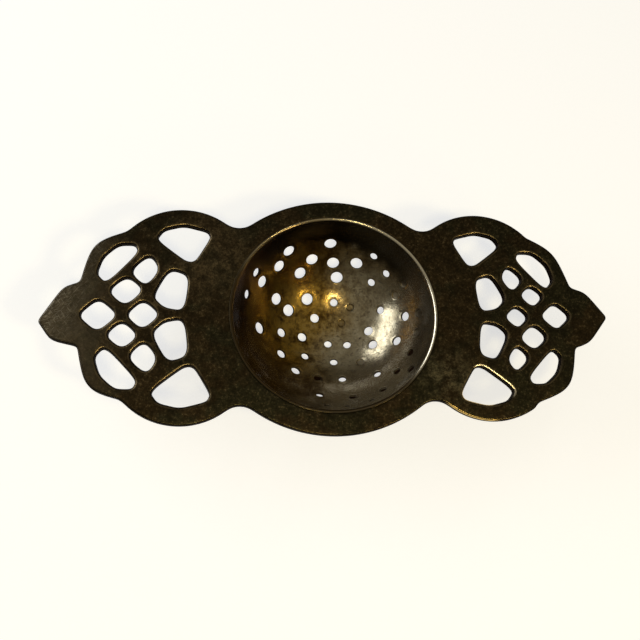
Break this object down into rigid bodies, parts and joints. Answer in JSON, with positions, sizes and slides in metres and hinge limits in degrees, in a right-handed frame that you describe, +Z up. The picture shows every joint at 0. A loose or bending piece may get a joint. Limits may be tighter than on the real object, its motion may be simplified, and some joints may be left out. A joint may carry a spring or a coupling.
{
  "type": "tea strainer",
  "caption": "Tea strainer: a drilled round bowl let into a flat flange, with a pierced, lobed and pointed handle on each side to rest across a cup.",
  "frame": {"origin": "under the middle of the flange, on the surface the strainer stands on; the small flat under the bowl is there, its own middle 0.8 mm towards +Y", "axes": "+Z up out of the bowl's mouth, +X along the handles, +Y across them"},
  "size_m": [0.159, 0.0671, 0.022],
  "materials": {
    "tarnished_plate": "old silver plate on nickel silver, dark brown-black tarnish, satin, rubbed bright on edges",
    "gilt_bowl": "worn gilding over silver plate, patchy brown and silver grey, half glossy, finely scratched",
    "silver_solder": "dull grey silver solder"
  },
  "bodies": {
    "root": {"frame_plate": "tarnished_plate", "strainer_bowl": "gilt_bowl", "solder_seam": "silver_solder"}
  },
  "joints": []
}
